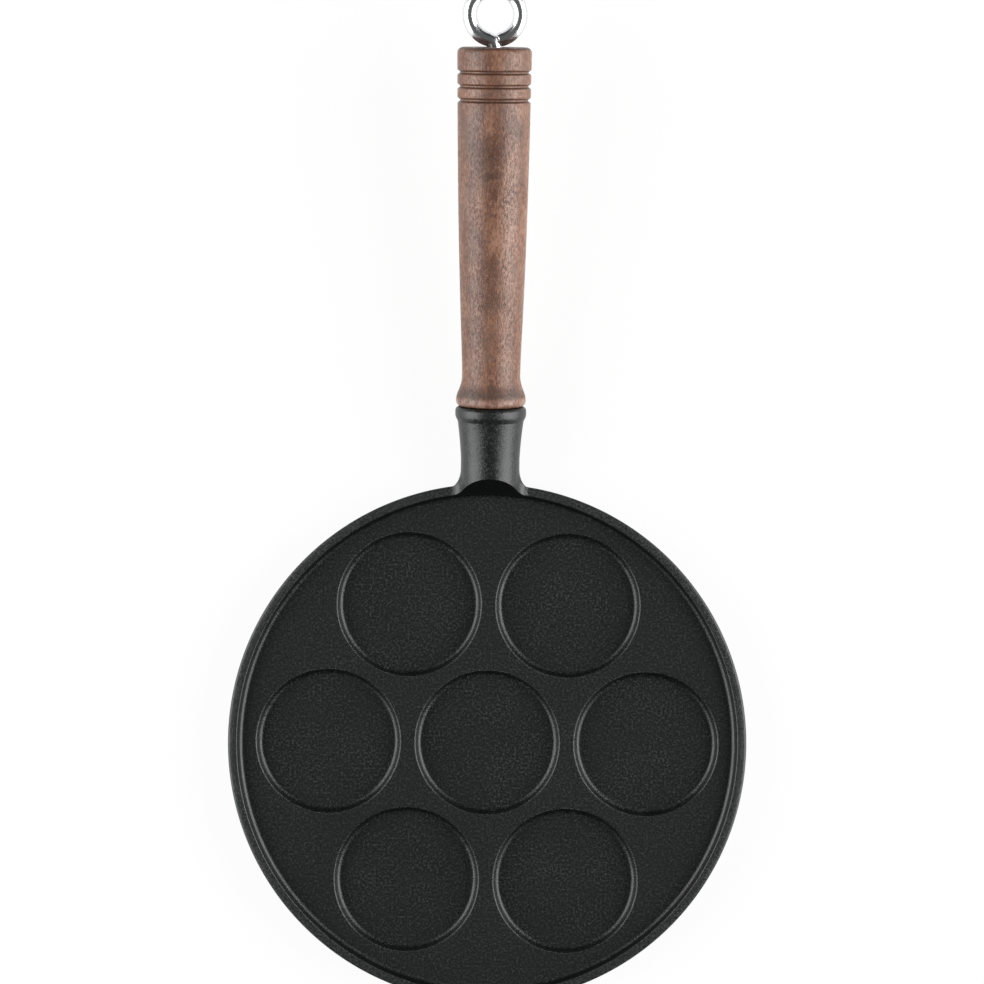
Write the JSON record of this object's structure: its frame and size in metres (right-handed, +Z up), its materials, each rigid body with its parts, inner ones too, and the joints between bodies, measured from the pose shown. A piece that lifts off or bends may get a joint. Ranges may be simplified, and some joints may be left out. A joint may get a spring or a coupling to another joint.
{
  "type": "pancake pan",
  "caption": "Round cast-iron griddle pan with shallow round wells for small pancakes, a turned wooden handle on a rod through it, and a steel hanging eye.",
  "frame": {"origin": "middle of the flat base, on the surface that the pan stands on", "axes": "+Z up out of the wells, +Y along the handle, seen from above, towards the hanging eye"},
  "size_m": [0.23, 0.4486, 0.056],
  "materials": {
    "cast_iron": "seasoned black iron with the fine grain of a sand casting",
    "walnut": "turned reddish-brown wood, oiled to a satin, with streaks along the grain",
    "bright_steel": "bright plated steel wire"
  },
  "bodies": {
    "pan": {"pan_casting": "cast_iron"},
    "grip": {"handle_grip": "walnut"},
    "eye": {"eye_rod": "bright_steel"}
  },
  "joints": [
    {"name": "grip_slide", "type": "slide", "parent": "pan", "child": "grip", "axis": [0, 0.9909, 0.1349], "range_m": [0, 0.012]},
    {"name": "eye_turn", "type": "hinge", "parent": "grip", "child": "eye", "pos_m": [0, 0.14925, 0.01877], "axis": [0, 0.9909, 0.1349], "range_deg": [0, 4321]}
  ],
  "couplings": [
    {"joint": "eye_turn", "follows": "grip_slide", "rad_per_m": 6283.2}
  ]
}
